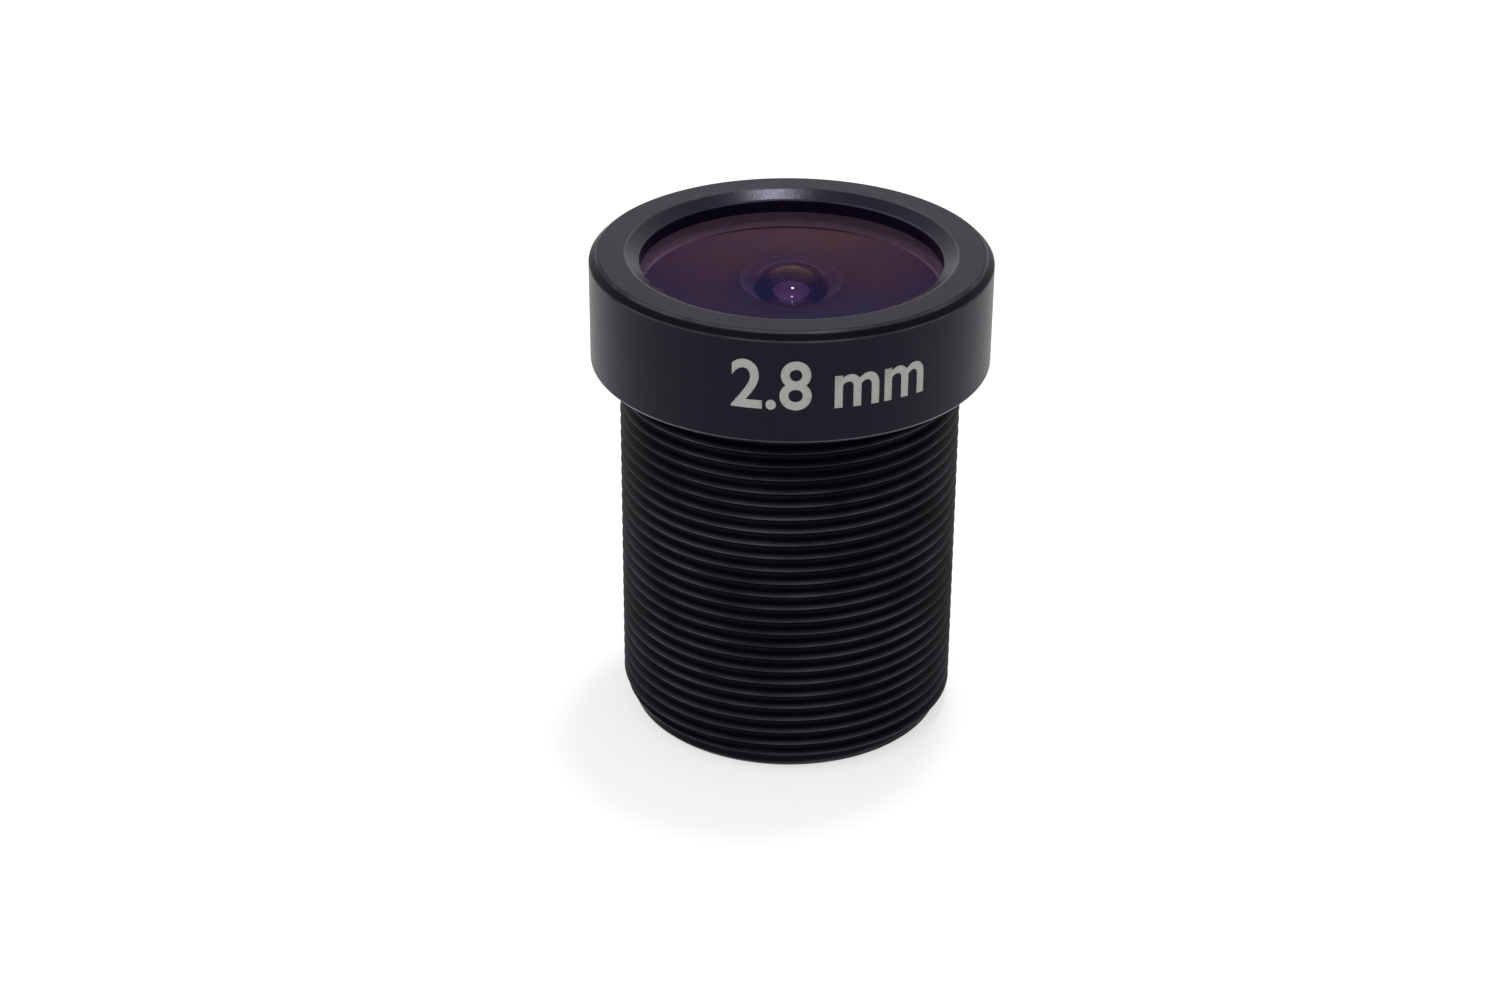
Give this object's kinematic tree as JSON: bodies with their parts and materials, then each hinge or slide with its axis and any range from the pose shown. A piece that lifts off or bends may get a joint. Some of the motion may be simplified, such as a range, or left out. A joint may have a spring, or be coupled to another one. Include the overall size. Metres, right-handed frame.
{
  "type": "security camera lens",
  "caption": "Small fixed-focus camera lens: a finely threaded black metal barrel with a wider smooth head round a recessed front glass, and an infrared filter at the rear.",
  "frame": {"origin": "centre of the rear face, which the lens stands on", "axes": "+Z along the optical axis towards the scene; +X to the right and -Y towards the viewer in the picture"},
  "size_m": [0.014, 0.014, 0.0175],
  "materials": {
    "head_aluminium": "black anodised, satin",
    "barrel_aluminium": "black anodised, satin",
    "front_glass": "polished, anti-reflection coated",
    "inner_glass": "polished, anti-reflection coated",
    "filter_glass": "polished, infrared-blocking coating",
    "seal_rubber": "matte",
    "spacer_aluminium": "black anodised, matte",
    "shield_film": "matte black film",
    "stop_steel": "blackened",
    "ring_aluminium": "black anodised, matte"
  },
  "bodies": {
    "root": {"front_cap": "head_aluminium", "barrel": "barrel_aluminium", "front_lens": "front_glass", "seal_ring": "seal_rubber", "front_baffle": "spacer_aluminium", "second_lens": "inner_glass", "front_light_shield": "shield_film", "front_spacer": "spacer_aluminium", "third_lens": "inner_glass", "stop_spacer": "spacer_aluminium", "aperture_stop": "stop_steel", "middle_spacer": "spacer_aluminium", "doublet_crown": "inner_glass", "doublet_flint": "inner_glass", "rear_light_shield": "shield_film", "rear_spacer": "spacer_aluminium", "rear_lens": "inner_glass", "rear_retaining_ring": "ring_aluminium", "infrared_filter": "filter_glass", "filter_ring": "ring_aluminium"}
  },
  "joints": []
}
